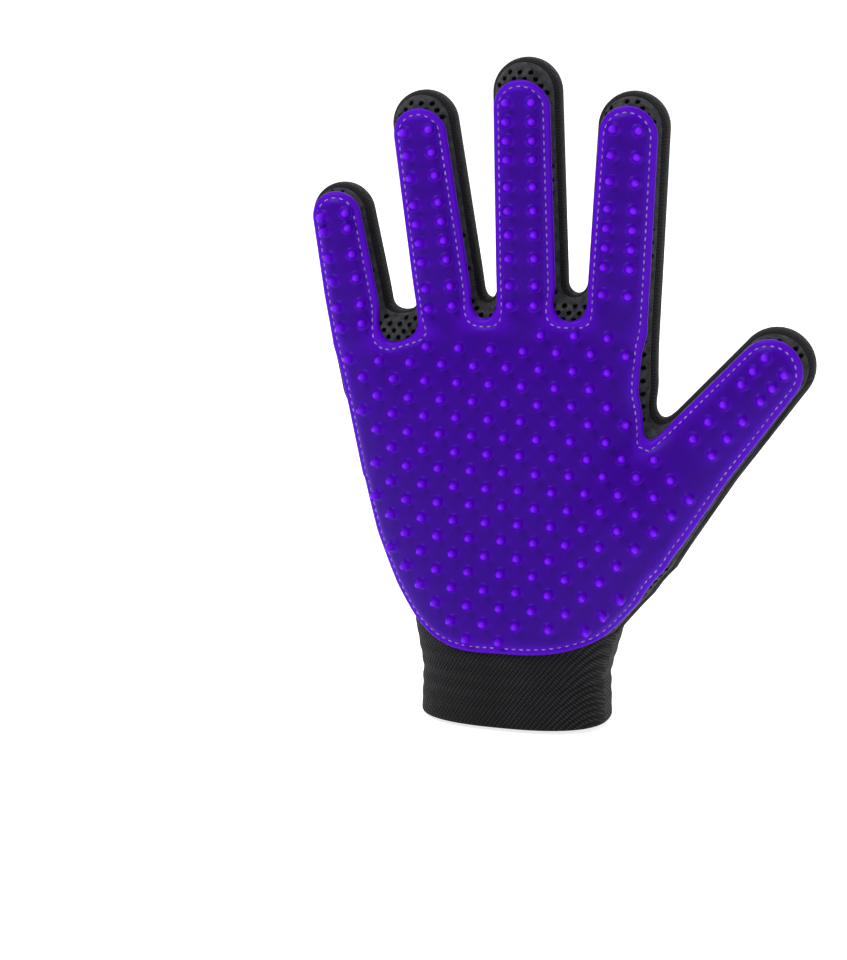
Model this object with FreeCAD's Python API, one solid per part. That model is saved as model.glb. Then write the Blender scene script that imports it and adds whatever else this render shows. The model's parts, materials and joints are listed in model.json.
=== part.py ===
"""Right-hand pet grooming glove, shaped as on a hand: fingers up +Z, palm towards -Y, thumb towards +X.

The origin is the centre of the wrist opening. Millimetres throughout.
A mesh back, a mesh palm and a stretch gusset between them make a hollow shell. A nubbed rubber pad is sewn
over the palm side, and an elastic cuff closes at the back with a hook and loop flap below a keyhole.
Fingers and thumb bend at two places each, so their pieces are divided there.
"""
import FreeCAD, Part
import math
import os

V = FreeCAD.Vector

# ---- thicknesses -------------------------------------------------------------------------------------
FABRIC = 2.0               # mesh panels and gusset
GUSSET_HALF = 5.0          # half the width of the gusset strip between the two mesh panels
ELASTIC = 1.4              # cuff band and flap
LOOP_THICK = 1.2
HOOK_THICK = 1.1
TAPE_GAP = 0.35            # between the loop patch and the hook patch pressed on it
BINDING_OVER = 0.9         # how far a binding stands over what it binds
RUBBER = 1.8

# ---- fingers: knuckle place, lean, lengths from knuckle to middle joint and from there to the tip ------
FINGERS = {
    "little": dict(x=-59.4, z=150.0, lean=-10.6, base=17.5, tip=20.2, wide=(23.0, 21.5), deep=(20.5, 19.0)),
    "ring": dict(x=-26.3, z=158.0, lean=-8.8, base=29.0, tip=33.6, wide=(24.0, 22.5), deep=(22.0, 20.0)),
    "middle": dict(x=4.5, z=160.0, lean=-2.0, base=33.5, tip=38.4, wide=(24.5, 23.5), deep=(22.5, 20.0)),
    "index": dict(x=37.5, z=158.0, lean=2.6, base=29.0, tip=34.2, wide=(25.0, 24.0), deep=(22.0, 20.0)),
    "thumb": dict(x=65.6, z=99.5, lean=39.4, base=25.0, tip=27.5, wide=(31.0, 26.0), deep=(24.0, 20.0)),
}
ROOT_LENGTH = 34.0         # how far a finger's tube runs down into the hand
THUMB_ROOT = ((-70.0, 25.0, 30.0), (-38.0, 40.0, 34.0))   # the ball of the thumb: place, width, depth
FINGER_ROUND = 2.7         # superellipse exponent of a finger's section: 2 is an ellipse, more is boxier
TIP_ARC = (0, 26, 48, 66, 82)   # degrees round the fingertip at which its sections lie
TIP_FLATNESS = 0.85        # under 1 the fingertip keeps its depth longer than its width
JOINT_GAP = 0.8            # free space between two pieces that turn against each other

# ---- hand: height, little-finger edge, thumb edge, half depth, roundness --------------------------------
HAND = (
    (0.0, -33.8, 33.8, 22.5, 2.5),
    (17.0, -33.3, 33.3, 22.0, 2.5),
    (34.0, -36.5, 36.5, 21.5, 2.6),
    (48.0, -44.0, 46.0, 20.5, 2.8),
    (66.0, -51.0, 51.0, 19.0, 3.0),
    (92.0, -57.0, 49.0, 17.5, 3.0),
    (120.0, -63.5, 47.5, 15.0, 3.0),
    (148.0, -70.5, 49.5, 11.0, 3.0),
)
KNUCKLE_SLOPE = 0.127      # rise of the hand's top edge towards the thumb, for each mm across
SLOPE_FROM = 66.0          # height at which the sections start to tilt towards that slope
CUFF_HEIGHT = 34.0
OPEN_BELOW = 5.0           # the cavity is cut this far past the wrist opening

# ---- rubber pad --------------------------------------------------------------------------------------
PAD_EDGE_INSET = 2.0       # from the glove's side to the pad's side
PAD_TIP_INSET = 6.0        # from the fingertip to the pad's end
PAD_BOTTOM = 27.0          # lowest point of the pad, over the cuff
PAD_HEEL_RISE = 17.0       # height of the heel curve from its lowest point to its ends
PAD_WEB_DROP = 14.0        # the pad's notch between two fingers lies this far below the hand's top edge
PAD_ROOT_SHARE = 0.95      # share of a finger's root that the pad's strip runs down into the palm
PALM_SIDES_TO = 140.0      # the palm outline follows the hand's sides up to this height
PALM_FLARE = 1.0           # above it the little finger's side widens by this much
NUB_HEIGHT = 3.6
NUB_FOOT_R = 1.9
NUB_TIP_R = 0.9
NUB_SINK = 0.9             # the nub's foot starts this deep inside the sheet
NUB_PITCH_X = 11.6         # palm lattice, whose alternate rows are offset by half of this
NUB_ROW = 5.95             # from one palm row to the next
NUB_FINGER_PITCH = 7.6     # along a finger, about
NUB_FINGER_COLUMN = 3.9    # from the finger's middle to each of its two columns
NUB_JOINT_CLEAR = 4.6      # from a joint to the nearest nub, so that nubs miss each other when it bends
NUB_EDGE = 4.4             # from the pad's edge to the nearest nub's middle
NUB_HEEL_SHARE = 0.7       # how much of the heel curve's rise the lowest nubs follow
NUB_THUMB_SHARE = 0.75     # share of the ball of the thumb that carries nubs

# ---- closure on the back of the wrist ------------------------------------------------------------------
SLIT_X = 0.0
KEYHOLE_R = 6.0
KEYHOLE_LENGTH = 21.0      # from the cuff's top edge to the top of the keyhole
BINDING_WIDTH = 5.0
FLAP_WIDTH = 25.0          # from the slit to the fold
STEP_LENGTH = 5.0          # the elastic rises over the loop patch in this length before the fold
LOOP_X = (-17.0, 30.0)
LOOP_MARGIN = 2.0          # from the cuff's edges to the loop patch
EDGE_STRIP = 6.0           # width of the dark strip at the loop patch's outer end
HOOK_MARGIN = 4.0          # from the flap's edges to the hook patch

FAR = 300.0                # past everything
SLIVER = 0.5               # solids below this volume are leftovers of a cut


# ---- curves ----------------------------------------------------------------------------------------------
def superellipse(a, b, n, count=16):
    """Points of |x/a|^n + |y/b|^n = 1, the first on the x axis."""
    points = []
    for i in range(count):
        t = 2 * math.pi * i / count
        c, s = math.cos(t), math.sin(t)
        points.append((a * math.copysign(abs(c) ** (2 / n), c), b * math.copysign(abs(s) ** (2 / n), s)))
    return points


def section(a, b, n, at):
    """A smooth closed wire through a superellipse. at takes x, y to a place in space."""
    curve = Part.BSplineCurve()
    curve.interpolate([at(x, y) for x, y in superellipse(a, b, n)], PeriodicFlag=True)
    return Part.Wire([curve.toShape()])


def loft(wires):
    return Part.makeLoft(wires, True, True)


def lerp(a, b, t):
    return a + (b - a) * t


def slab(z0, z1, y0=-FAR, y1=FAR, x0=-FAR, x1=FAR):
    return Part.makeBox(x1 - x0, y1 - y0, z1 - z0, V(x0, y0, z0))


def front_of(a, b, n, x):
    """How far a superellipse section reaches at x."""
    return b * max(0.0, 1 - abs(x / a) ** n) ** (1 / n)


# ---- fingers ---------------------------------------------------------------------------------------------
def root_length(name):
    return -THUMB_ROOT[0][0] if name == "thumb" else ROOT_LENGTH


def straight_end(name):
    """Where the finger's round tip starts, above its knuckle."""
    f = FINGERS[name]
    return f["base"] + f["tip"] - f["wide"][1] / 2


def finger_stations(name):
    """The straight part of a finger: place along it, half width and half depth."""
    f = FINGERS[name]
    lows = THUMB_ROOT if name == "thumb" else ((-ROOT_LENGTH, f["wide"][0], f["deep"][0]),)
    rows = list(lows) + [(0.0, f["wide"][0], f["deep"][0]), (straight_end(name), f["wide"][1], f["deep"][1])]
    return [(s, wide / 2, deep / 2) for s, wide, deep in rows]


def finger_half(name, s):
    """Half width and half depth of a finger at s above its knuckle."""
    rows = finger_stations(name)
    s = min(max(s, rows[0][0]), rows[-1][0])
    for low, high in zip(rows, rows[1:]):
        if s <= high[0]:
            t = (s - low[0]) / (high[0] - low[0])
            return lerp(low[1], high[1], t), lerp(low[2], high[2], t)


def finger_envelope(name, grow, start):
    """A finger's tube from start to its round tip, in the finger's own frame with the knuckle at 0."""
    end = straight_end(name)
    places = [start] + [row[0] for row in finger_stations(name) if start < row[0] < end]
    wires = []
    for s in places:
        a, b = finger_half(name, s)
        wires.append(section(a + grow, b + grow, FINGER_ROUND, lambda x, y, s=s: V(x, y, s)))
    a, b = finger_half(name, end)
    for degrees in TIP_ARC:
        p = math.radians(degrees)
        z = end + (a + grow) * math.sin(p)
        shrink = math.cos(p)
        wires.append(section((a + grow) * shrink, (b + grow) * shrink ** TIP_FLATNESS, FINGER_ROUND,
                             lambda x, y, z=z: V(x, y, z)))
    return loft(wires)


def finger_root(name, grow, top):
    """The stretch of a finger's tube that belongs to the hand, in the finger's own frame."""
    places = [row[0] for row in finger_stations(name) if row[0] < 0] + ([0.0] if top > 0 else []) + [top]
    wires = []
    for s in places:
        a, b = finger_half(name, s)
        wires.append(section(a + grow, b + grow, FINGER_ROUND, lambda x, y, s=s: V(x, y, s)))
    return loft(wires)


def placed(shape, name):
    """Takes a shape from a finger's own frame to the glove's frame."""
    f = FINGERS[name]
    shape = shape.copy()
    shape.Placement = FreeCAD.Placement(V(f["x"], 0, f["z"]), FreeCAD.Rotation(V(0, 1, 0), f["lean"]))
    return shape


def to_finger(name, x, z):
    """A place on the glove's plane, as x and s in the finger's own frame."""
    f = FINGERS[name]
    lean = math.radians(f["lean"])
    dx, dz = x - f["x"], z - f["z"]
    return dx * math.cos(lean) - dz * math.sin(lean), dx * math.sin(lean) + dz * math.cos(lean)


def to_glove(name, u, s):
    f = FINGERS[name]
    lean = math.radians(f["lean"])
    return f["x"] + u * math.cos(lean) + s * math.sin(lean), f["z"] - u * math.sin(lean) + s * math.cos(lean)


# ---- hand ------------------------------------------------------------------------------------------------
def slope_at(z):
    """Tilt of the section at a height."""
    top = HAND[-1][0]
    return KNUCKLE_SLOPE * max(0.0, (z - SLOPE_FROM) / (top - SLOPE_FROM))


def hand_row(z):
    """Left edge, right edge, half depth and roundness of the hand at a height."""
    z = min(max(z, HAND[0][0]), HAND[-1][0])
    for low, high in zip(HAND, HAND[1:]):
        if z <= high[0]:
            t = (z - low[0]) / (high[0] - low[0])
            return [lerp(p, q, t) for p, q in zip(low[1:], high[1:])]


def hand_envelope(grow, low, high):
    """The hand between two heights, without fingers."""
    heights = [low] + [row[0] for row in HAND if low < row[0] < high] + [high]
    wires = []
    for z in heights:
        left, right, deep, n = hand_row(z)
        a, xc, slope = (right - left) / 2, (right + left) / 2, slope_at(z)
        wires.append(section(a + grow, deep + grow, n,
                             lambda x, y, z=z, xc=xc, slope=slope: V(xc + x, y, z + slope * x)))
    return loft(wires)


def glove_envelope(grow, low, above_knuckle):
    """The hand from low upwards with the roots of all fingers, each cut square near its knuckle."""
    hand = hand_envelope(grow, low, HAND[-1][0] + min(grow, 0.0))
    roots = []
    for name in FINGERS:
        root = placed(finger_root(name, grow, above_knuckle), name)
        roots.append(root.common(slab(low, FAR)) if name == "thumb" else root)
    for root in roots:
        hand = hand.fuse(root)
    return hand


def web_z(x):
    """Height of the pad's top edge between the fingers."""
    z, left, right = HAND[-1][:3]
    return z + KNUCKLE_SLOPE * (x - (left + right) / 2) - PAD_WEB_DROP


# ---- rubber pad ------------------------------------------------------------------------------------------
def prism(edges):
    """The space in front of the glove inside an outline on its middle plane."""
    return Part.Face(Part.Wire(edges)).extrude(V(0, -FAR, 0))


def path(points):
    return [Part.LineSegment(a, b).toShape() for a, b in zip(points, points[1:])]


def pad_half(name, s):
    return finger_half(name, s)[0] - PAD_EDGE_INSET


def pad_end(name):
    """Where the round end of a finger's pad has its centre."""
    f = FINGERS[name]
    return f["base"] + f["tip"] - PAD_TIP_INSET - pad_half(name, straight_end(name))


def pad_strip(name, low, high=None):
    """A finger's part of the pad outline, in the finger's own frame, round at the tip unless high is given."""
    end = pad_end(name) if high is None else high
    stations = [low] + [row[0] for row in finger_stations(name) if low < row[0] < end] + [end]
    right = [V(pad_half(name, s), 0, s) for s in stations]
    left = [V(-p.x, 0, p.z) for p in reversed(right)]
    if high is None:
        top = Part.Arc(right[-1], V(0, 0, end + right[-1].x), left[0]).toShape()
    else:
        top = Part.LineSegment(right[-1], left[0]).toShape()
    return prism(path(right) + [top] + path(left) + path([left[-1], right[0]]))


def palm_outline():
    low = PAD_BOTTOM + PAD_HEEL_RISE
    heights = [low] + [row[0] for row in HAND if low < row[0] < PALM_SIDES_TO]
    left = [V(hand_row(z)[0] + PAD_EDGE_INSET, 0, z) for z in heights]
    right = [V(hand_row(z)[1] - PAD_EDGE_INSET, 0, z) for z in heights]
    left.append(V(left[-1].x - PALM_FLARE, 0, web_z(left[-1].x)))
    right.append(V(right[-1].x, 0, web_z(right[-1].x)))
    heel = Part.Arc(right[0], V(0, 0, PAD_BOTTOM), left[0]).toShape()
    return prism(path(left + right[::-1]) + [heel])


def on_pad(x, z):
    """True where a palm nub has its whole foot on the sheet."""
    left, right = hand_row(z)[:2]
    half = (right - left) / 2
    heel = PAD_BOTTOM + NUB_EDGE + PAD_HEEL_RISE * (x / half) ** 2 * NUB_HEEL_SHARE
    edge = PAD_EDGE_INSET + NUB_EDGE
    if z < heel or z > web_z(x) - NUB_EDGE:
        return False
    if left + edge <= x <= right - edge:
        return True
    u, s = to_finger("thumb", x, z)
    on_thumb = THUMB_ROOT[0][0] * NUB_THUMB_SHARE < s < -NUB_JOINT_CLEAR
    return on_thumb and abs(u) <= pad_half("thumb", s) - NUB_EDGE


def palm_depth(x, z):
    """How far the outside of the rubber lies in front of the middle plane, over the palm."""
    left, right, deep, n = hand_row(z)
    reach = [front_of((right - left) / 2 + RUBBER, deep + RUBBER, n, x - (left + right) / 2)
             if left < x < right else 0.0]
    for name in FINGERS:
        u, s = to_finger(name, x, z)
        a, b = finger_half(name, s)
        if abs(u) < a and -root_length(name) < s < 0:
            reach.append(front_of(a + RUBBER, b + RUBBER, FINGER_ROUND, u))
    return max(reach)


def finger_depth(name):
    def depth(u, s):
        a, b = finger_half(name, s)
        return front_of(a + RUBBER, b + RUBBER, FINGER_ROUND, u)
    return depth


def nub(depth, x, z):
    """A nub square to the sheet at x, z, whose outside lies at depth(x, z) in front of the middle plane."""
    step = 1.0
    out = V(-(depth(x + step, z) - depth(x - step, z)) / 2, -1, -(depth(x, z + step) - depth(x, z - step)) / 2)
    out.normalize()
    foot = V(x, -depth(x, z), z)
    return Part.makeCone(NUB_FOOT_R, NUB_TIP_R, NUB_HEIGHT + NUB_SINK, foot - out * NUB_SINK, out)


def finger_rows(first, last):
    """Even heights of a finger's nub rows from first to last, about the pitch apart."""
    steps = max(1, round((last - first) / NUB_FINGER_PITCH))
    return [lerp(first, last, i / steps) for i in range(steps + 1)]


def palm_nubs():
    made = []
    rows = int((web_z(HAND[-1][2]) - PAD_BOTTOM) / NUB_ROW) + 1
    columns = int(FAR / 2 / NUB_PITCH_X)
    for row in range(rows):
        z = PAD_BOTTOM + NUB_EDGE + row * NUB_ROW
        for column in range(-columns, columns + 1):
            x = (column + 0.5 * (row % 2)) * NUB_PITCH_X
            if on_pad(x, z):
                made.append(nub(palm_depth, x, z))
    for name in FINGERS:
        if name == "thumb":
            continue
        place = to_glove(name, 0, -NUB_JOINT_CLEAR)
        count = 1 + int((place[1] - web_z(place[0])) / NUB_FINGER_PITCH)
        for row in range(count):
            for side in (-1, 1):
                x, z = to_glove(name, side * NUB_FINGER_COLUMN, -NUB_JOINT_CLEAR - row * NUB_FINGER_PITCH)
                made.append(nub(palm_depth, x, z))
    return made


def with_nubs(sheet, nubs):
    return sheet.multiFuse(nubs).removeSplitter() if nubs else sheet


# ---- pieces ----------------------------------------------------------------------------------------------
def panels(shell, low, high):
    """Back mesh, palm mesh and gusset of a stretch of glove, cut from its shell at the two seams."""
    return {
        "back_mesh": shell.common(slab(low, high, y0=GUSSET_HALF)),
        "palm_mesh": shell.common(slab(low, high, y1=-GUSSET_HALF)),
        "gusset": shell.common(slab(low, high, y0=-GUSSET_HALF, y1=GUSSET_HALF)),
    }


def finger_pieces(name):
    """The eight pieces of one finger, in the glove's frame."""
    f = FINGERS[name]
    gap = JOINT_GAP / 2
    top = f["base"] + f["tip"] + RUBBER
    outer = finger_envelope(name, 0.0, -1.0)
    shell = outer.cut(finger_envelope(name, -FABRIC, -2.0))
    sheet = finger_envelope(name, RUBBER, -1.0).common(pad_strip(name, 0.0))
    pad_top = pad_end(name) + pad_half(name, pad_end(name)) - NUB_EDGE
    rows = {
        "base": finger_rows(NUB_JOINT_CLEAR, f["base"] - NUB_JOINT_CLEAR),
        "tip": finger_rows(f["base"] + NUB_JOINT_CLEAR, pad_top),
    }
    spans = {"base": (gap, f["base"] - gap), "tip": (f["base"] + gap, top)}
    made = {}
    for part, (low, high) in spans.items():
        nubs = [nub(finger_depth(name), side * NUB_FINGER_COLUMN, s) for s in rows[part] for side in (-1, 1)]
        pieces = panels(shell, low, high)
        pieces["rubber"] = with_nubs(sheet.common(slab(low, high)), nubs).cut(outer)
        for kind, shape in pieces.items():
            made[f"{name}_{part}_{kind}"] = placed(shape, name)
    return made


def teardrop(grow):
    """The space behind the glove inside the keyhole: round at the top and pointed at the cuff."""
    r = KEYHOLE_R + grow
    centre = CUFF_HEIGHT + KEYHOLE_LENGTH - KEYHOLE_R
    foot = V(SLIT_X, 0, CUFF_HEIGHT - 2 * grow)
    lean = math.asin(r / (centre - foot.z))
    right = V(SLIT_X + r * math.cos(lean), 0, centre - r * math.sin(lean))
    left = V(SLIT_X - r * math.cos(lean), 0, right.z)
    arc = Part.Arc(right, V(SLIT_X, 0, centre + r), left).toShape()
    face = Part.Face(Part.Wire([Part.LineSegment(foot, right).toShape(), arc,
                                Part.LineSegment(left, foot).toShape()]))
    return face.extrude(V(0, FAR, 0))


def cuff_layer(low, high, x0, x1, z0=0.0, z1=CUFF_HEIGHT):
    """A layer on the back of the cuff between two distances from its outer face."""
    ring = hand_envelope(high, 0.0, CUFF_HEIGHT).cut(hand_envelope(low, -OPEN_BELOW, CUFF_HEIGHT + OPEN_BELOW))
    return ring.common(slab(z0, z1, y0=0, x0=x0, x1=x1))


def closure_pieces():
    gap = JOINT_GAP / 2
    hook_low = LOOP_THICK + TAPE_GAP
    flap_low = hook_low + HOOK_THICK
    flap_high = flap_low + ELASTIC
    fold = SLIT_X - FLAP_WIDTH
    binding_x = SLIT_X - BINDING_WIDTH
    step = cuff_layer(0.0, flap_high, fold - STEP_LENGTH, fold - gap)
    bore = hand_envelope(-ELASTIC, -OPEN_BELOW, CUFF_HEIGHT + OPEN_BELOW)
    band = hand_envelope(0.0, 0.0, CUFF_HEIGHT).cut(bore)
    front = band.common(slab(0, FAR, y1=0))
    back = band.common(slab(0, FAR, y0=0))
    strip_x = LOOP_X[1] - EDGE_STRIP
    loop_z = (LOOP_MARGIN, CUFF_HEIGHT - LOOP_MARGIN)
    hook_z = (HOOK_MARGIN, CUFF_HEIGHT - HOOK_MARGIN)
    return {
        "cuff_elastic": Part.makeCompound([front, back, step]),
        "loop_patch": cuff_layer(0.0, LOOP_THICK, LOOP_X[0], strip_x, *loop_z),
        "loop_patch_end": cuff_layer(0.0, LOOP_THICK, strip_x, LOOP_X[1], *loop_z),
        "flap_elastic": cuff_layer(flap_low, flap_high, fold + gap, binding_x),
        "flap_binding": cuff_layer(flap_low - BINDING_OVER / 2, flap_high + BINDING_OVER, binding_x, SLIT_X),
        "hook_patch": cuff_layer(hook_low, flap_low, LOOP_X[0], binding_x - HOOK_MARGIN / 2, *hook_z),
    }


def hand_pieces():
    gap = JOINT_GAP / 2
    outer = glove_envelope(0.0, CUFF_HEIGHT, -gap)
    inner = glove_envelope(-FABRIC, CUFF_HEIGHT - OPEN_BELOW, OPEN_BELOW)
    shell = outer.cut(inner)
    made = {f"hand_{kind}": shape for kind, shape in panels(shell, CUFF_HEIGHT, FAR).items()}
    hole = teardrop(BINDING_WIDTH)
    made["hand_back_mesh"] = made["hand_back_mesh"].cut(hole)
    proud = hand_envelope(BINDING_OVER, CUFF_HEIGHT + gap, HAND[-1][0])
    deep = hand_envelope(-FABRIC - BINDING_OVER, CUFF_HEIGHT - OPEN_BELOW, HAND[-1][0] + OPEN_BELOW)
    made["keyhole_binding"] = proud.common(hole.cut(teardrop(0.0))).cut(deep)

    skin = glove_envelope(RUBBER, 0.0, -gap)
    body = glove_envelope(0.0, -OPEN_BELOW, OPEN_BELOW)
    strips = [placed(pad_strip(n, -root_length(n) * PAD_ROOT_SHARE, -gap), n) for n in FINGERS]
    outline = palm_outline().multiFuse(strips)
    made["palm_rubber"] = with_nubs(skin.common(outline), palm_nubs()).cut(body)
    return made


def main():
    os.makedirs("parts", exist_ok=True)
    pieces = closure_pieces()
    pieces.update(hand_pieces())
    for name in FINGERS:
        pieces.update(finger_pieces(name))
    for node, shape in pieces.items():
        solids = [s for s in shape.Solids if s.Volume > SLIVER]
        result = solids[0] if len(solids) == 1 else Part.makeCompound(solids)
        result.exportStep(f"parts/{node}.step")
        print(f"{node:24s} solids {len(solids)} volume {result.Volume:9.1f} valid {result.isValid()}")


main()
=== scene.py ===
import json
import math
import bpy
import numpy as np
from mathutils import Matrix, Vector
from mathutils.geometry import delaunay_2d_cdt


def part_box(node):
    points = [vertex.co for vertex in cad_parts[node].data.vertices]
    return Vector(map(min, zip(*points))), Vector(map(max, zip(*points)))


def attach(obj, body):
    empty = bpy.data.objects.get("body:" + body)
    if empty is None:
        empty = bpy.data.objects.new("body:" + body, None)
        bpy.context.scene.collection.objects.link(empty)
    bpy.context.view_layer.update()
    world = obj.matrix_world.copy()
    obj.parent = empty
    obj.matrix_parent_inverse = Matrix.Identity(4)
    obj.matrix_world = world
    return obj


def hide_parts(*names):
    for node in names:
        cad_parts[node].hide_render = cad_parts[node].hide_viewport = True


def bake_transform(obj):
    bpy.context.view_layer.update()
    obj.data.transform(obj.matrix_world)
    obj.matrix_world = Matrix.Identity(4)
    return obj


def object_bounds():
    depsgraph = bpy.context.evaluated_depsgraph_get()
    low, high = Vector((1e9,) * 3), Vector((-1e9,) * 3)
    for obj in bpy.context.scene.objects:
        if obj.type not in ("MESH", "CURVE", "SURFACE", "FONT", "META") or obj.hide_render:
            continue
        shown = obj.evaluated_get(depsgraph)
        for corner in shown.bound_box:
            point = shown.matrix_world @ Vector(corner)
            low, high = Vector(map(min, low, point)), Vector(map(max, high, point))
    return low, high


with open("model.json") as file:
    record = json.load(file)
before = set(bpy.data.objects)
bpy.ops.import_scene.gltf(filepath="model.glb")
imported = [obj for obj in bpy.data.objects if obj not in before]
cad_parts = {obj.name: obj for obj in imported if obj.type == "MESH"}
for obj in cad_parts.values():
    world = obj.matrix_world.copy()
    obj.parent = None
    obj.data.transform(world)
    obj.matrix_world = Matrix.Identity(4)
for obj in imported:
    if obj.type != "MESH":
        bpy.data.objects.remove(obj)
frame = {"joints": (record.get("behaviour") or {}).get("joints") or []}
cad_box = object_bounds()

# A right-hand grooming glove: fingers up +Z, nubbed palm towards -Y, thumb towards +X. Shapes are worked out
# in millimetres and turned into metres when a mesh is made. The fabric body is one smooth field of fingers
# and hand; every layer is laid on it, and is divided across the joints only at the end.
MM = 0.001
UP = Vector((0, 0, 1))

# ---- camera ----
CAMERA_AZIMUTH = 18.0
CAMERA_ELEVATION = 12.0
CAMERA_DISTANCE = 950.0
FRAME_HEIGHT = 338.0       # of the picture, at the glove
AIM_RIGHT = -33.5          # middle of the picture from the wrist's middle, to the right and up
AIM_UP = 84.5


def add_camera():
    az, el = math.radians(CAMERA_AZIMUTH), math.radians(CAMERA_ELEVATION)
    right = Vector((math.cos(az), math.sin(az), 0))
    back = Vector((math.sin(az) * math.cos(el), -math.cos(az) * math.cos(el), math.sin(el)))
    aim = right * AIM_RIGHT + UP * AIM_UP
    camera = bpy.data.objects.new("camera", bpy.data.cameras.new("camera"))
    camera.location = (aim + back * CAMERA_DISTANCE) * MM
    camera.rotation_euler = back.to_track_quat("Z", "Y").to_euler()
    camera.data.sensor_width = 36
    camera.data.lens = 36 * CAMERA_DISTANCE / FRAME_HEIGHT
    bpy.context.collection.objects.link(camera)
    bpy.context.scene.camera = camera


add_camera()

# ---- the fabric body ----
GUSSET_HALF = 4.6          # half the width of the gusset strip
FINGER_ROUND = 2.5
CREASE = 6.0               # how softly fingers grow out of the hand, between them
THUMB_CREASE = 9.0
SIDE_CREASE = 1.0          # and on its outer sides
WEBS = ((-44.0, 137.0), (-12.0, 148.0), (20.0, 150.0), (54.0, 116.0))   # the places between fingers
WEB_REACH = 15.0
FINGER_SIZES = {           # widths and depths at the knuckle and at the tip
    "little": ((23.0, 21.5), (20.5, 19.0)),
    "ring": ((24.0, 22.5), (22.0, 20.0)),
    "middle": ((24.5, 23.5), (22.5, 20.0)),
    "index": ((25.0, 24.0), (22.0, 20.0)),
    "thumb": ((31.0, 26.0), (24.0, 20.0)),
}
ROOT_LENGTH = 34.0
THUMB_ROOT = ((-70.0, 25.0, 30.0), (-38.0, 40.0, 34.0))   # ball of the thumb: place, width, depth
HAND = np.array((          # height, little-finger edge, thumb edge, half depth, roundness
    (0.0, -33.8, 33.8, 22.5, 2.5),
    (17.0, -33.3, 33.3, 22.0, 2.5),
    (34.0, -36.5, 38.0, 21.5, 2.6),
    (48.0, -44.0, 48.5, 20.5, 2.8),
    (66.0, -51.0, 54.0, 19.0, 3.0),
    (92.0, -57.0, 50.0, 17.5, 3.0),
    (120.0, -63.5, 47.5, 15.0, 3.0),
    (148.0, -70.5, 49.5, 11.0, 3.0),
))
KNUCKLE_SLOPE = 0.127
SLOPE_FROM = 66.0
TOP_DROP = 1.0             # how far the hand's rounded top edge lies under its straight line
TOP_ROUND = 9.0
CUFF_HEIGHT = 34.0
DEEPEST = 34.0             # no part of the body reaches further from its middle plane
JOINTS = {joint["name"]: joint for joint in frame["joints"]}


class Finger:
    """A finger's own frame: u across it, s along it from the knuckle."""

    def __init__(self, name):
        knuckle, middle = JOINTS[f"{name}_knuckle"], JOINTS[f"{name}_middle_joint"]
        first, second = Vector(knuckle["pos_m"]) / MM, Vector(middle["pos_m"]) / MM
        across = Vector(knuckle["axis"])
        (w0, w1), (d0, d1) = FINGER_SIZES[name]
        self.name = name
        self.x, self.z = first.x, first.z
        self.cos, self.sin = across.x, -across.z
        self.base = (second - first).length
        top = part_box(f"{name}_tip_gusset")[1][2] / MM
        self.length = (top - self.z - w1 / 2) / self.cos + w1 / 2
        self.end = self.length - w1 / 2
        rows = list(THUMB_ROOT) if name == "thumb" else [(-ROOT_LENGTH, w0, d0)]
        rows += [(0.0, w0, d0), (self.end, w1, d1)]
        self.rows = np.array(rows)
        self.hinge_y = first.y

    def local(self, x, z):
        dx, dz = x - self.x, z - self.z
        return dx * self.cos - dz * self.sin, dx * self.sin + dz * self.cos

    def place(self, u, s):
        return self.x + u * self.cos + s * self.sin, self.z - u * self.sin + s * self.cos

    def half(self, s):
        """Half the width and half the depth at s."""
        return [np.interp(s, self.rows[:, 0], self.rows[:, i]) / 2 for i in (1, 2)]

    def point(self, s):
        x, z = self.place(0.0, s)
        return Vector((x, self.hinge_y, z)) * MM


FINGERS = [Finger(name) for name in FINGER_SIZES]
THUMB = FINGERS[-1]


def squircle(px, py, a, b, n):
    """Distance from a superellipse of half sizes a and b, true to first order, negative inside."""
    left, up = np.abs(px) / a, np.abs(py) / b
    q = np.maximum((left ** n + up ** n) ** (1 / n), 0.3)
    return (q - 1) / np.maximum(np.hypot((left / q) ** (n - 1) / a, (up / q) ** (n - 1) / b), 1e-3)


def smooth_min(a, b, k):
    h = np.maximum(k - np.abs(a - b), 0) / k
    return np.minimum(a, b) - h * h * k / 4


def smooth_max(a, b, k):
    return -smooth_min(-a, -b, k)


def hand_row(z):
    return [np.interp(z, HAND[:, 0], HAND[:, i]) for i in (1, 2, 3, 4)]


def top_edge(x):
    """Height of the hand's top edge between the fingers."""
    left, right = HAND[-1, 1], HAND[-1, 2]
    return HAND[-1, 0] + KNUCKLE_SLOPE * (x - (left + right) / 2)


def hand_field(x, y, z):
    slope = KNUCKLE_SLOPE * np.clip((z - SLOPE_FROM) / (HAND[-1, 0] - SLOPE_FROM), 0, 1)
    left, right, deep, n = hand_row(z - slope * x)
    side = squircle(x - (left + right) / 2, y, (right - left) / 2, deep, n)
    return smooth_max(side, z - top_edge(x) + TOP_DROP, TOP_ROUND)


def finger_field(f, x, y, z):
    u, s = f.local(x, z)
    a, b = f.half(s)
    beyond = np.maximum(s - f.end, 0) + np.maximum(f.rows[0, 0] - s, 0)
    return squircle(np.hypot(u, beyond), y, a, b, FINGER_ROUND)


def web_share(x, z):
    """1 between two fingers, fading to 0 away from there."""
    return sum(np.exp(-((x - wx) ** 2 + (z - wz) ** 2) / WEB_REACH ** 2) for wx, wz in WEBS)


def body_field(x, y, z):
    field = hand_field(x, y, z)
    crease = SIDE_CREASE + (CREASE - SIDE_CREASE) * web_share(x, z)
    for f in FINGERS:
        field = smooth_min(field, finger_field(f, x, y, z), THUMB_CREASE if f is THUMB else crease)
    return field


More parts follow.
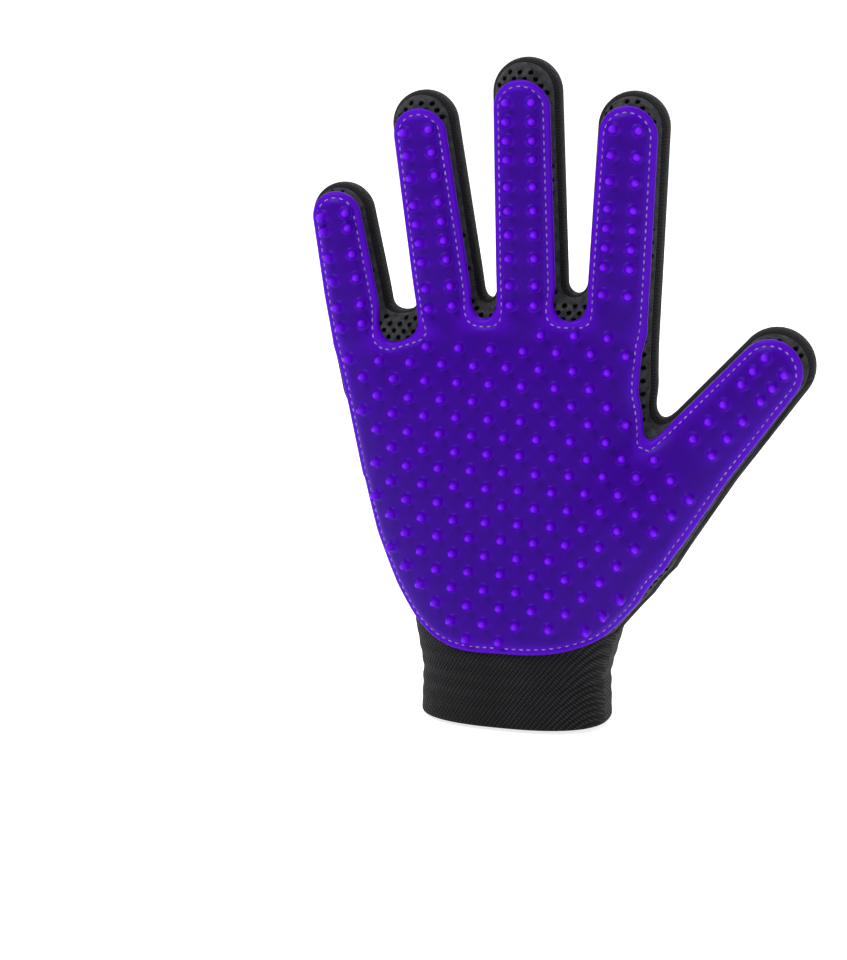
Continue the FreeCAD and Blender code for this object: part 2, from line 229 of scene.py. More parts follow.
def last_inside(field, low, high, rounds):
    """The place between low and high where field stops being negative, by halving."""
    for _ in range(rounds):
        middle = (low + high) / 2
        inside = field(middle) < 0
        low, high = np.where(inside, middle, low), np.where(inside, high, middle)
    return low


def surface_y(x, z):
    """How far the body reaches from its middle plane at x, z."""
    return last_inside(lambda y: body_field(x, y, z), np.zeros_like(x), np.full_like(x, DEEPEST), 22)


def edge_field(x, z):
    """Negative inside the seam between a mesh panel and the gusset."""
    return body_field(x, GUSSET_HALF, z)


# ---- the pad's outline ----
PAD_INSET = 1.7            # from the hand's side to the pad's side
PAD_FINGER_INSET = 2.4
PAD_TIP_INSET = {"little": 2.8, "ring": 5.7, "middle": 7.0, "index": 4.5, "thumb": 3.4}
PAD_WEBS = ((-44.0, -16.0, 16.0), (134.5, 144.0, 145.5))   # where the pad's notches end: x and height
PAD_WEB_DROP = 2.0
PAD_WEB_ROUND = 3.0
PAD_BOTTOM = 27.0
PAD_STRIP_DOWN = 24.0      # a finger's strip runs this far below its knuckle into the palm
PAD_STRIP_ROUND = 8.0
PAD_HEEL_X = 1.5           # middle of the heel curve, and its rise with the square and cube of the distance
PAD_HEEL_LEFT = (-0.00696, 4.387e-4)
PAD_HEEL_RIGHT = (0.00122, 1.516e-4)
PAD_HEEL_REACH = 57.0      # the heel curve ends this far to either side
PAD_HEEL_TOP = 85.0        # and counts only below this height
PAD_HEEL_ROUND = 5.0
PAD_CREASE = 8.0
PAD_THUMB_CREASE = 7.0
PAD_THUMB_SIDE = (1.2, 100.0, 125.0)   # the pad stays this much further in on the side above the thumb


def pad_web(x):
    """Height of the pad's edge between the fingers."""
    return np.interp(x, *PAD_WEBS) - PAD_WEB_DROP


def pad_field(x, z):
    """Negative inside the rubber pad's outline."""
    left, right, _, _ = hand_row(z)
    step, low, high = PAD_THUMB_SIDE
    right = right - step * np.clip((z - low) / (high - low), 0, 1)
    half, middle = (right - left) / 2, (right + left) / 2
    field = np.abs(x - middle) - half + PAD_INSET
    field = smooth_max(field, z - pad_web(x), PAD_WEB_ROUND)
    crease = SIDE_CREASE + (PAD_CREASE - SIDE_CREASE) * web_share(x, z)
    for f in FINGERS:
        u, s = f.local(x, z)
        r = f.half(f.end)[0] - PAD_FINGER_INSET
        end = f.length - PAD_TIP_INSET[f.name] - r
        beyond = np.maximum(s - end, 0) + np.maximum(f.rows[0, 0] - s, 0)
        strip = np.hypot(u, beyond) - (f.half(s)[0] - PAD_FINGER_INSET)
        if f is not THUMB:
            strip = smooth_max(strip, -PAD_STRIP_DOWN - s, PAD_STRIP_ROUND)
        field = smooth_min(field, strip, PAD_THUMB_CREASE if f is THUMB else crease)
    side = x > PAD_HEEL_X
    a, b = [np.where(side, p, q) for p, q in zip(PAD_HEEL_RIGHT, PAD_HEEL_LEFT)]
    out = np.minimum(np.abs(x - PAD_HEEL_X), PAD_HEEL_REACH)
    heel = (PAD_BOTTOM + (a + b * out) * out ** 2 - z) / np.hypot(1, (2 * a + 3 * b * out) * out)
    return np.where(z < PAD_HEEL_TOP, smooth_max(field, heel, PAD_HEEL_ROUND), field)


# ---- tracing and filling outlines ----
TRACE_LIMIT = 3000         # points in an outline
PULL_LIMIT = 3.0           # the furthest that a point moves in one round
LATTICE_X = (-90.0, 125.0)
LATTICE_TOP = 240.0


def gradient(field, x, z, h=0.05):
    gx = (field(x + h, z) - field(x - h, z)) / (2 * h)
    gz = (field(x, z + h) - field(x, z - h)) / (2 * h)
    return gx, gz


def pull(field, x, z, level=0.0, rounds=4):
    """Moves points square to a field's contours onto the one at level."""
    for _ in range(rounds):
        gx, gz = gradient(field, x, z)
        size = np.maximum(gx * gx + gz * gz, 0.05)
        gap = np.clip((field(x, z) - level) / size, -PULL_LIMIT, PULL_LIMIT)
        x, z = x - gap * gx, z - gap * gz
    return x, z


def trace(field, start, step, floor=None):
    """Even points along field = 0, clockwise. Closed, or from floor back down to floor."""
    x, z = pull(field, np.array([start[0]]), np.array([start[1]]), rounds=12)
    points = [(x[0], z[0])]
    while len(points) < TRACE_LIMIT:
        gx, gz = gradient(field, x, z)
        size = np.hypot(gx, gz)
        x, z = pull(field, x + step * gz / size, z - step * gx / size, rounds=2)
        points.append((x[0], z[0]))
        if floor is not None and z[0] < floor:
            break
        if floor is None and len(points) > 20 and math.dist(points[-1], points[0]) < step * 0.75:
            points.pop()
            break
    return np.array(points)


def fill(loop, inner=(), holes=()):
    """Triangles inside a closed loop, through loose inner points and around holes."""
    points, edges, owner = [], [], []
    for number, ring in enumerate([loop, *holes]):
        first = len(points)
        points += [Vector(p) for p in ring]
        count = len(ring)
        edges += [(first + i, first + (i + 1) % count) for i in range(count)]
        owner += [number] * count
    points += [Vector(p) for p in inner]
    owner = np.array(owner + [0] * (len(points) - len(owner)))
    made = delaunay_2d_cdt(points, edges, [], 1, 1e-5)
    faces = np.array([f[:3] for f in made[2]])
    # A triangle with all its corners on one hole's rim fills that hole.
    corner = np.array([owner[origin[0]] if origin else 0 for origin in made[3]])[faces]
    faces = faces[~((corner[:, 0] > 0) & (corner[:, 0] == corner[:, 1]) & (corner[:, 1] == corner[:, 2]))]
    flat = np.array([v[:] for v in made[0]])
    a, b, c = flat[faces[:, 0]], flat[faces[:, 1]], flat[faces[:, 2]]
    turn = (b[:, 0] - a[:, 0]) * (c[:, 1] - a[:, 1]) - (b[:, 1] - a[:, 1]) * (c[:, 0] - a[:, 0])
    faces[turn < 0] = faces[turn < 0][:, ::-1]
    return flat, faces


def lattice(spacing, row, inside):
    """Points of a staggered lattice over the glove where inside says so."""
    start = -math.ceil(-LATTICE_X[0] / spacing) * spacing
    points = []
    for i, z in enumerate(np.arange(0, LATTICE_TOP, row)):
        xs = np.arange(start + (spacing / 2 if i % 2 else 0), LATTICE_X[1], spacing)
        points.append(np.stack([xs, np.full_like(xs, z)], 1))
    points = np.concatenate(points)
    return points[inside(points[:, 0], points[:, 1])]


def boundary(faces):
    """Edges that belong to one triangle only, in that triangle's direction."""
    edges = np.concatenate([faces[:, (0, 1)], faces[:, (1, 2)], faces[:, (2, 0)]])
    keys = np.sort(edges, 1)
    _, index, count = np.unique(keys, axis=0, return_index=True, return_counts=True)
    return edges[index[count == 1]]


def close_sheet(upper, under, faces):
    """A top and an underside with the same faces, joined by a wall along every edge."""
    count = len(upper)
    rim = boundary(faces)
    wall = np.concatenate([np.stack([rim[:, 1], rim[:, 0], rim[:, 0] + count], 1),
                           np.stack([rim[:, 1], rim[:, 0] + count, rim[:, 1] + count], 1)])
    return np.concatenate([upper, under]), np.concatenate([faces, faces[:, ::-1] + count, wall])


def grid_faces(rows, columns, closed=False):
    index = np.arange(rows * columns).reshape(rows, columns)
    if closed:
        index = np.concatenate([index, index[:, :1]], 1)
    a, b = index[:-1, :-1].ravel(), index[:-1, 1:].ravel()
    c, d = index[1:, 1:].ravel(), index[1:, :-1].ravel()
    return np.concatenate([np.stack([a, b, c], 1), np.stack([a, c, d], 1)])


def unit(vectors):
    return vectors / np.maximum(np.linalg.norm(vectors, axis=1), 1e-9)[:, None]


# ---- laying flat patterns on the body ----
SEAM_DIP = 0.7             # how far a panel dips where it is sewn to the gusset
SEAM_REACH = 0.8
SLOPE_STEP = 0.4
STEEPEST = 2.2             # a layer stands off at most as on this slope


def relief(x, z):
    """Height of a panel over the smooth body: it dips at its seam."""
    depth = np.maximum(-edge_field(x, z), 0)
    return -SEAM_DIP * np.exp(-(depth / SEAM_REACH) ** 2)


def lay(flat, side, height):
    """Points on the body's front (side -1) or back (side 1), height above it along its normal."""
    x, z = flat[:, 0], flat[:, 1]
    sx, sz = np.clip(gradient(surface_y, x, z, SLOPE_STEP), -STEEPEST, STEEPEST)
    normal = unit(np.stack([-sx, np.full_like(x, float(side)), -sz], 1))
    return np.stack([x, side * surface_y(x, z), z], 1) + normal * height[:, None], normal


def sheet(flat, faces, side, top, bottom):
    """A closed sheet on the body, between two heights over it."""
    upper, under = [lay(flat, side, height)[0] for height in (top, bottom)]
    return close_sheet(upper, under, faces if side < 0 else faces[:, ::-1])


def join(parts):
    points, faces, count = [], [], 0
    for p, f in parts:
        points.append(p)
        faces.append(f + count)
        count += len(p)
    return np.concatenate(points), np.concatenate(faces)


# ---- dividing a layer across the joints ----
BELOW_KNUCKLE = 9.0        # a finger's first piece starts this far below its knuckle
BESIDE_FINGER = 3.5        # and takes in what lies this far beside the finger
BESIDE_THUMB = 22.0        # but no more than this from the thumb's middle line
BEND_KNUCKLE = (-3.0, 8.5)   # two places along the finger from its knuckle; layer works out points there and does nothing more with them
BEND_MIDDLE = 6.0          # and to either side of its middle joint


def vertex_normals(points, faces):
    a, b, c = points[faces[:, 0]], points[faces[:, 1]], points[faces[:, 2]]
    face = np.cross(b - a, c - a)
    normals = np.zeros_like(points)
    for i in range(3):
        np.add.at(normals, faces[:, i], face)
    return unit(normals)


def regions(points, faces):
    """For each triangle, 0 for the hand, or 1 and 2 for a finger's two pieces plus twice its number."""
    centre = points[faces].mean(1)
    region = np.zeros(len(faces), int)
    for i, f in enumerate(FINGERS):
        u, s = f.local(centre[:, 0], centre[:, 2])
        near = (np.abs(u) < f.half(s)[0] + BESIDE_FINGER) & (s > -BELOW_KNUCKLE)
        if f is THUMB:
            near &= np.abs(u) < BESIDE_THUMB
        region[near] = 2 * i + 1
        region[near & (s > f.base / 2)] = 2 * i + 2
    return region


def mesh_object(name, points, faces, material, normals=None, tint=None):
    mesh = bpy.data.meshes.new(name)
    mesh.vertices.add(len(points))
    mesh.vertices.foreach_set("co", (points * MM).astype(np.float32).ravel())
    mesh.loops.add(len(faces) * 3)
    mesh.loops.foreach_set("vertex_index", faces.astype(np.int32).ravel())
    mesh.polygons.add(len(faces))
    mesh.polygons.foreach_set("loop_start", np.arange(0, len(faces) * 3, 3, dtype=np.int32))
    mesh.update(calc_edges=True)
    mesh.validate()
    mesh.materials.append(material)
    # A per-point value for the rubber's painted light: painted shade where low, painted highlight where high.
    if tint is not None:
        mesh.attributes.new("tint", "FLOAT", "POINT").data.foreach_set("value", tint.astype(np.float32))
    mesh.polygons.foreach_set("use_smooth", np.ones(len(mesh.polygons), bool))
    if normals is not None:
        mesh.normals_split_custom_set_from_vertices([tuple(n) for n in normals])
    obj = bpy.data.objects.new(name, mesh)
    bpy.context.collection.objects.link(obj)
    return obj


def layer(name, points, faces, material, replaced=None, tint=None):
    """Makes a layer's pieces: one on the hand and two on each finger.

    replaced gives the hand piece's CAD nodes, and the end of the name of a finger piece's node.
    """
    normals = vertex_normals(points, faces)
    region = regions(points, faces)
    for number in np.unique(region):
        chosen = faces[region == number]
        used, index = np.unique(chosen, return_inverse=True)
        f = FINGERS[(number - 1) // 2] if number else None
        part = ("hand", "base", "tip")[0 if not number else 1 + (number - 1) % 2]
        title = f"{name}_{part}" if not f else f"{name}_{f.name}_{part}"
        obj = mesh_object(title, points[used], index.reshape(-1, 3), material, normals[used],
                          tint=None if tint is None else tint[used])
        if part == "hand":
            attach(obj, "hand")
        elif part == "base":
            f.point(BEND_KNUCKLE[0])
            f.point(BEND_KNUCKLE[1])
            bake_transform(obj)
        else:
            f.point(f.base - BEND_MIDDLE)
            f.point(f.base + BEND_MIDDLE)
            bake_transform(obj)
        if replaced:
            nodes = replaced["hand"] if part == "hand" else [f"{f.name}_{part}_{replaced['finger']}"]
            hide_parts(*nodes)


# ---- materials ----
def material(name, roughness, specular=0.5, sheen=0.0, sheen_rough=0.5):
    m = bpy.data.materials.new(name)
    m.use_nodes = True
    shader = m.node_tree.nodes["Principled BSDF"]
    shader.inputs["Roughness"].default_value = roughness
    shader.inputs["Specular IOR Level"].default_value = specular
    shader.inputs["Sheen Weight"].default_value = sheen
    shader.inputs["Sheen Roughness"].default_value = sheen_rough
    return m, m.node_tree.nodes, m.node_tree.links, shader


def texture(nodes, links, kind, scale, detail, turn=None):
    """A texture node in the object's own coordinates, optionally turned."""
    place = nodes.new("ShaderNodeTexCoord").outputs["Object"]
    if turn:
        mapping = nodes.new("ShaderNodeMapping")
        mapping.inputs["Rotation"].default_value = turn
        links.new(place, mapping.inputs["Vector"])
        place = mapping.outputs["Vector"]
    node = nodes.new(kind)
    node.inputs["Scale"].default_value = scale
    node.inputs["Detail"].default_value = detail
    links.new(place, node.inputs["Vector"])
    return node.outputs["Fac"]


def ramp(nodes, links, source, stops):
    node = nodes.new("ShaderNodeValToRGB")
    while len(node.color_ramp.elements) < len(stops):
        node.color_ramp.elements.new(0.5)
    for element, (place, colour) in zip(node.color_ramp.elements, stops):
        element.position = place
        element.color = (*colour, 1)
    links.new(source, node.inputs["Fac"])
    return node.outputs["Color"]


def spread(nodes, links, source, low, high):
    node = nodes.new("ShaderNodeMapRange")
    node.inputs["To Min"].default_value = low
    node.inputs["To Max"].default_value = high
    links.new(source, node.inputs["Value"])
    return node.outputs["Result"]


def bump(nodes, links, shader, layers):
    """A chain of bumps: each layer is a height, its strength and its distance in metres."""
    normal = None
    for height, strength, distance in layers:
        node = nodes.new("ShaderNodeBump")
        node.inputs["Strength"].default_value = strength
        node.inputs["Distance"].default_value = distance
        links.new(height, node.inputs["Height"])
        if normal is not None:
            links.new(normal, node.inputs["Normal"])
        normal = node.outputs["Normal"]
    links.new(normal, shader.inputs["Normal"])


def rubber_material():
    """Rubber coloured from a point attribute: painted shade where it is low, between the nubs, and painted
    highlight where it is high, on nub tips and the strip outside the stitches.
    """
    m, nodes, links, shader = material("violet_silicone", 0.36, specular=0.07)
    cloud = texture(nodes, links, "ShaderNodeTexNoise", 55, 3)
    grain = texture(nodes, links, "ShaderNodeTexNoise", 1900, 2)
    painted_light_node = nodes.new("ShaderNodeAttribute")
    painted_light_node.attribute_name = "tint"
    # Colour ramp from painted shade between the nubs to a painted highlight on their tips.
    colour = ramp(nodes, links, painted_light_node.outputs["Fac"], [(0.0, (0.029, 0.0, 0.20)), (0.5, (0.062, 0.0004, 0.40)),
                                                       (1.0, (0.18, 0.009, 0.88))])
    cloudy = nodes.new("ShaderNodeHueSaturation")
    links.new(colour, cloudy.inputs["Color"])
    links.new(spread(nodes, links, cloud, 0.88, 1.12), cloudy.inputs["Value"])
    links.new(cloudy.outputs["Color"], shader.inputs["Base Color"])
    links.new(spread(nodes, links, cloud, 0.33, 0.48), shader.inputs["Roughness"])
    bump(nodes, links, shader, [(grain, 0.12, 0.0002), (cloud, 0.1, 0.001)])
    return m


def mesh_material(name, dark, light):
    m, nodes, links, shader = material(name, 0.85, specular=0.12, sheen=0.04)
    yarn = texture(nodes, links, "ShaderNodeTexWave", 700, 1.5, turn=(0, 0.6, 0))
    cloud = texture(nodes, links, "ShaderNodeTexNoise", 420, 4)
    colour = ramp(nodes, links, cloud, [(0.3, dark), (0.75, light)])
    links.new(colour, shader.inputs["Base Color"])
    links.new(spread(nodes, links, yarn, 0.75, 0.95), shader.inputs["Roughness"])
    bump(nodes, links, shader, [(yarn, 0.5, 0.0002), (cloud, 0.4, 0.0003)])
    return m


def knit_material(name, dark, light, scale=420, ribs=0.0):
    m, nodes, links, shader = material(name, 0.85, specular=0.12, sheen=0.05)
    across = texture(nodes, links, "ShaderNodeTexWave", scale, 1.0, turn=(0, 0.75, 0))
    along = texture(nodes, links, "ShaderNodeTexWave", scale * 0.8, 1.0, turn=(0, -0.6, 0.5))
    cloud = texture(nodes, links, "ShaderNodeTexNoise", 60, 4)
    fuzz = texture(nodes, links, "ShaderNodeTexNoise", 1500, 3)
    colour = ramp(nodes, links, cloud, [(0.25, dark), (0.8, light)])
    weave = nodes.new("ShaderNodeMath")
    weave.operation = "MULTIPLY"
    links.new(across, weave.inputs[0])
    links.new(along, weave.inputs[1])
    ribbed = nodes.new("ShaderNodeHueSaturation")
    links.new(colour, ribbed.inputs["Color"])
    links.new(spread(nodes, links, weave.outputs["Value"], 1 - ribs, 1 + 2.2 * ribs), ribbed.inputs["Value"])
    links.new(ribbed.outputs["Color"], shader.inputs["Base Color"])
    links.new(spread(nodes, links, cloud, 0.7, 0.9), shader.inputs["Roughness"])
    bump(nodes, links, shader, [(across, 0.6, 0.0004), (along, 0.45, 0.0004), (fuzz, 0.25, 0.0002)])
    return m


RUBBER = rubber_material()
NET = mesh_material("air_mesh", (0.014, 0.014, 0.015), (0.055, 0.055, 0.06))
# The lining is coloured near black as painted shade, seen through the mesh's holes.
LINING_SHADE = mesh_material("mesh_lining_shade", (0.001, 0.001, 0.001), (0.003, 0.003, 0.0035))
STRETCH = knit_material("stretch_fabric", (0.005, 0.005, 0.007), (0.012, 0.012, 0.015), 700, 0.7)
ELASTIC_LOOK = knit_material("elastic_twill", (0.005, 0.005, 0.006), (0.014, 0.014, 0.016), 330, 0.8)
BINDING = knit_material("binding_tape", (0.010, 0.010, 0.012), (0.032, 0.032, 0.037), 650)
LOOP = knit_material("loop_tape", (0.10, 0.115, 0.15), (0.20, 0.22, 0.27), 900)
HOOK = knit_material("hook_tape", (0.012, 0.012, 0.014), (0.05, 0.05, 0.055), 1200)
THREAD = knit_material("thread", (0.28, 0.22, 0.42), (0.55, 0.5, 0.72), 2500)
DARK_THREAD = knit_material("dark_thread", (0.06, 0.06, 0.065), (0.13, 0.13, 0.14), 2500)

# ---- fabric panels and gusset ----
OUTLINE_STEP = 1.25
PANEL_BOTTOM = CUFF_HEIGHT - 1.5    # the panels run on a little under the cuff
HOLE_PITCH = (3.7, 2.25)   # between holes in a row, and between rows
HOLE_SIZE = (0.98, 0.92)   # half width and half height
HOLE_SIDES = 8
HOLE_CLEAR = 0.45          # cloth between a hole and the seam
KNOT_INSET = 0.5
STRAND_INSET = 2.0         # the strands stand proud only this far in from the seam
STRAND_RISE = 0.22
PLAIN_GRID = (3.0, 2.6)    # points where the panel has no holes, and their distance from the seam
PLAIN_INSET = 2.4
NET_LIFT = 0.1
NET_THICK = 0.8
NET_RING = 0.25            # a row of points this far in from the seam
LINING_GRID = (3.2, 2.8)
LINING_INSET = 1.5
LINING_RING = 1.0
LINING_DROP = 1.0
LINING_THICK = 0.6

start_x = float(hand_row(PANEL_BOTTOM)[0])
seam = trace(edge_field, (start_x, PANEL_BOTTOM), OUTLINE_STEP, PANEL_BOTTOM)
seam[-1] = seam[-2] + (seam[-1] - seam[-2]) * (seam[-2][1] - PANEL_BOTTOM) / (seam[-2][1] - seam[-1][1])
hem_count = int((seam[-1][0] - seam[0][0]) / OUTLINE_STEP)
hem = np.linspace(seam[-1], seam[0], hem_count + 1)[1:-1]
panel_loop = np.concatenate([seam, hem])


KEYHOLE_R = 6.0
KEYHOLE_HEIGHT = 21.0
KEYHOLE_CUT = 1.2          # the fabric's edge lies this far under the binding
KEYHOLE_CLEAR = 0.8        # no loose points this close to that edge
KEYHOLE_Z = CUFF_HEIGHT + KEYHOLE_HEIGHT - KEYHOLE_R


def keyhole_field(x, z):
    """Distance from the keyhole's teardrop: a round top that narrows to a point at the cuff."""
    half = KEYHOLE_R * np.clip((z - CUFF_HEIGHT) / (KEYHOLE_Z - CUFF_HEIGHT), 0, 1) ** 0.75
    upper = np.hypot(x, z - KEYHOLE_Z) - KEYHOLE_R
    return np.where(z > KEYHOLE_Z, upper, np.abs(x) - half)


def keyhole_ring(grow):
    """The keyhole's outline, grown by grow: an arc and two tangents down to a foot at the cuff."""
    r, foot = KEYHOLE_R + grow, CUFF_HEIGHT + 0.9 - grow * 0.3
    lean = math.asin(r / (KEYHOLE_Z - foot))
    turn = np.linspace(-lean, math.pi + lean, 30)
    arc = np.stack([r * np.cos(turn), KEYHOLE_Z + r * np.sin(turn)], 1)
    t = np.linspace(0, 1, 8)[1:-1, None]
    point = np.array([[0.0, foot]])
    return np.concatenate([arc, arc[-1] + (point - arc[-1]) * t, point, point + (arc[0] - point) * t])


def outside_keyhole(points, side):
    """The points that are clear of the keyhole, which is in the back panel only."""
    away = keyhole_field(points[:, 0], points[:, 1])
    return points[(away > KEYHOLE_CUT + KEYHOLE_CLEAR) | (side < 0)]


def deep_inside(x, z, margin):
    return (edge_field(x, z) < -margin) & (z > PANEL_BOTTOM + margin)


def net_panel(side, wanted):
    """A panel of mesh fabric with real holes where wanted says so."""
    centres = lattice(*HOLE_PITCH, lambda x, z: deep_inside(x, z, HOLE_SIZE[0] + HOLE_CLEAR) & wanted(x, z))
    turn = (np.arange(HOLE_SIDES) + 0.5) * 2 * math.pi / HOLE_SIDES
    rim = np.stack([HOLE_SIZE[0] * np.cos(turn), HOLE_SIZE[1] * np.sin(turn)], 1)
    holes = [c + rim for c in centres]
    knots = np.array([(c[0], c[1] + s * HOLE_PITCH[1]) for c in centres for s in (-1, 1)])
    knots = knots[deep_inside(knots[:, 0], knots[:, 1], KNOT_INSET)]
    knots = np.unique(np.round(knots, 2), axis=0)
    plain = lattice(*PLAIN_GRID, lambda x, z: deep_inside(x, z, PLAIN_INSET) & ~wanted(x, z))
    if side > 0:
        holes.append(keyhole_ring(KEYHOLE_CUT))
    return fill(panel_loop, outside_keyhole(np.concatenate([knots, plain, seam_ring(NET_RING)]), side), holes)


def seam_ring(depth):
    """A row of points inside a panel, this far from its seam."""
    ring = np.stack(pull(edge_field, seam[:, 0], seam[:, 1], -depth, rounds=5), 1)
    return ring[ring[:, 1] > PANEL_BOTTOM + 0.3]


def add_net(side, name, wanted, nodes, finger_node):
    flat, faces = net_panel(side, wanted)
    x, z = flat[:, 0], flat[:, 1]
    # Points on a hole's rim sit lower than the knots between holes, so that the strands look round.
    wave = np.cos(2 * math.pi * x / HOLE_PITCH[0]) * np.cos(math.pi * z / HOLE_PITCH[1])
    knit = np.where(deep_inside(x, z, STRAND_INSET) & wanted(x, z), -STRAND_RISE * wave, 0.0)
    top = relief(x, z) + NET_LIFT + knit
    points, faces = sheet(flat, faces, side, top, top - NET_THICK)
    layer(name, points, faces, NET, {"hand": nodes, "finger": finger_node})


def add_lining(side, name):
    # A sheet under each mesh panel, coloured near black as painted shade in the holes.
    inner = lattice(*LINING_GRID, lambda x, z: deep_inside(x, z, LINING_INSET))
    inner = outside_keyhole(np.concatenate([inner, seam_ring(LINING_RING)]), side)
    flat, faces = fill(panel_loop, inner, [keyhole_ring(KEYHOLE_CUT)] if side > 0 else [])
    top = relief(flat[:, 0], flat[:, 1]) - LINING_DROP
    points, faces = sheet(flat, faces, side, top, top - LINING_THICK)
    layer(name, points, faces, LINING_SHADE)


GUSSET_LEVELS = (-1.0, -0.9, -0.72, -0.48, -0.24, 0.0, 0.24, 0.48, 0.72, 0.9, 1.0)
GUSSET_SEARCH = (-2.0, 5.0)   # where the body's surface lies, outward from the seam's line
GUSSET_DIP = 0.8           # share of the panels' dip, and how far it reaches
GUSSET_DIP_REACH = 0.9
GUSSET_BULGE = 0.25
GUSSET_THICK = 0.8


def add_gusset():
    """The strip between the two seams, which bulges between them."""
    gx, gz = gradient(edge_field, seam[:, 0], seam[:, 1])
    size = np.hypot(gx, gz)
    nx, nz = gx / size, gz / size
    count, length = len(GUSSET_LEVELS), len(seam)
    rows = []
    for y in GUSSET_HALF * np.array(GUSSET_LEVELS):
        level = np.full(length, y)
        low, high = [np.full(length, end) for end in GUSSET_SEARCH]
        surface = last_inside(lambda out: body_field(seam[:, 0] + nx * out, level, seam[:, 1] + nz * out),
                              low, high, 20)
        dip = SEAM_DIP * GUSSET_DIP * np.exp(-((GUSSET_HALF - abs(y)) / GUSSET_DIP_REACH) ** 2)
        reach = surface - dip + GUSSET_BULGE * (1 - (y / GUSSET_HALF) ** 2)
        rows.append(np.stack([seam[:, 0] + nx * reach, level, seam[:, 1] + nz * reach], 1))
    outer = np.stack(rows)
    inner = outer - GUSSET_THICK * np.stack([nx, np.zeros_like(nx), nz], 1)[None]
    points = np.concatenate([outer.reshape(-1, 3), inner.reshape(-1, 3)])
    lift = count * length
    grid = grid_faces(count, length)
    faces = [grid, grid[:, ::-1] + lift]
    for row, flip in ((0, False), (count - 1, True)):
        p = np.arange(length - 1) + row * length
        q = p + 1
        wall = np.concatenate([np.stack([q, p, p + lift], 1), np.stack([q, p + lift, q + lift], 1)])
        faces.append(wall[:, ::-1] if flip else wall)
    layer("gusset", points, np.concatenate(faces), STRETCH,
          {"hand": ["hand_gusset"], "finger": "gusset"})


# The mesh has holes outside the keyhole's binding on the back, and outside the rubber pad on the palm.
add_net(1, "back_mesh", lambda x, z: keyhole_field(x, z) > 3.0, ["hand_back_mesh"], "back_mesh")
add_net(-1, "palm_mesh", lambda x, z: pad_field(x, z) > -0.4, ["hand_palm_mesh"], "palm_mesh")
add_lining(1, "back_lining")
add_lining(-1, "palm_lining")
add_gusset()

# ---- rubber pad ----
RUBBER_THICK = 1.7
PAD_LIFT = 0.15            # of the rubber's edge over the fabric
PAD_UNDERSIDE = -0.1
PAD_RIM = 1.0
PAD_GRID = (2.0, 1.75)
PAD_GRID_CLEAR = 0.9       # from the innermost of the rings below
STITCH_INSET = 2.2
GROOVE_DEPTH = 0.45
GROOVE_REACH = 0.55
RING_DEPTHS = (0.12, 0.35, 0.7, 1.1, 1.5, 1.95, 2.45, 3.0, 4.0)
NUB_HEIGHT = 3.7
NUB_PROFILE = ((3.0, -0.9), (2.9, -0.22), (2.45, -0.03), (1.95, 0.25), (1.55, 0.85), (1.28, 1.8), (1.05, 2.7),
               (0.78, 3.35), (0.4, 3.64))
NUB_SIDES = 14
NUB_PITCH_X = 11.6
NUB_ROW = 5.95
NUB_FINGER_PITCH = 7.3
NUB_FINGER_COLUMN = 3.9
NUB_JOINT_CLEAR = 4.6
NUB_TIP_CLEAR = 7.6        # from a finger pad's end to its last row
NUB_EDGE = 4.6
NUB_TOP = 0.06             # the middle of a nub's top over NUB_HEIGHT
NUB_FOOT = 0.4             # and its foot's middle under the rubber's surface
# The rubber's colour attribute is painted light: 0 is painted shade between the nubs, 1 a painted highlight on
# their tips.
BORDER_HIGHLIGHT = 0.55         # painted highlight on the strip outside the stitches, which fades inward over BORDER_FADE
BORDER_FADE = 2.5
NUB_PAINTED_LIGHT = 0.3             # painted light round a nub's foot, less shaded than between nubs, and how far it reaches
NUB_PAINTED_LIGHT_REACH = 3.0
NUB_HIGHLIGHT_RISE = 5.0        # the height over which a nub goes from painted shade to painted highlight


def pad_height(x, z):
    """Thickness of the rubber over the mesh: a round rim and a shallow groove for the stitches."""
    depth = np.maximum(-pad_field(x, z), 0)
    t = np.clip(depth / PAD_RIM, 0, 1)
    groove = GROOVE_DEPTH * np.exp(-((depth - STITCH_INSET) / GROOVE_REACH) ** 2)
    return PAD_LIFT + RUBBER_THICK * np.sqrt(t * (2 - t)) - groove


def finger_rows(first, last):
    """Even places from first to last, about the pitch apart."""
    return list(np.linspace(first, last, round((last - first) / NUB_FINGER_PITCH) + 1))


def nub_places():
    places = []
    for row in range(40):
        z = PAD_BOTTOM + NUB_EDGE + row * NUB_ROW
        for column in range(-12, 13):
            x = (column + 0.5 * (row % 2)) * NUB_PITCH_X
            fits = pad_field(np.array([x]), np.array([z]))[0] < -NUB_EDGE
            on_hand = z < pad_web(x) - NUB_EDGE * 0.4
            u, s = THUMB.local(x, z)
            if fits and on_hand and (s < -NUB_JOINT_CLEAR or u < -THUMB.half(s)[0] - NUB_EDGE / 2):
                places.append((x, z))
    for f in FINGERS:
        pad_top = f.length - PAD_TIP_INSET[f.name] - NUB_TIP_CLEAR
        rows = finger_rows(NUB_JOINT_CLEAR, f.base - NUB_JOINT_CLEAR)
        rows += finger_rows(f.base + NUB_JOINT_CLEAR, pad_top)
        if f is not THUMB:
            x, z = f.place(0, -NUB_JOINT_CLEAR)
            last = min(-NUB_JOINT_CLEAR, pad_web(x) - z + NUB_EDGE)
            rows += [-NUB_JOINT_CLEAR - i * NUB_FINGER_PITCH for i in range(1 + int(-last / NUB_FINGER_PITCH))]
        places += [f.place(side * NUB_FINGER_COLUMN, s) for s in rows for side in (-1, 1)]
    return np.array(places)


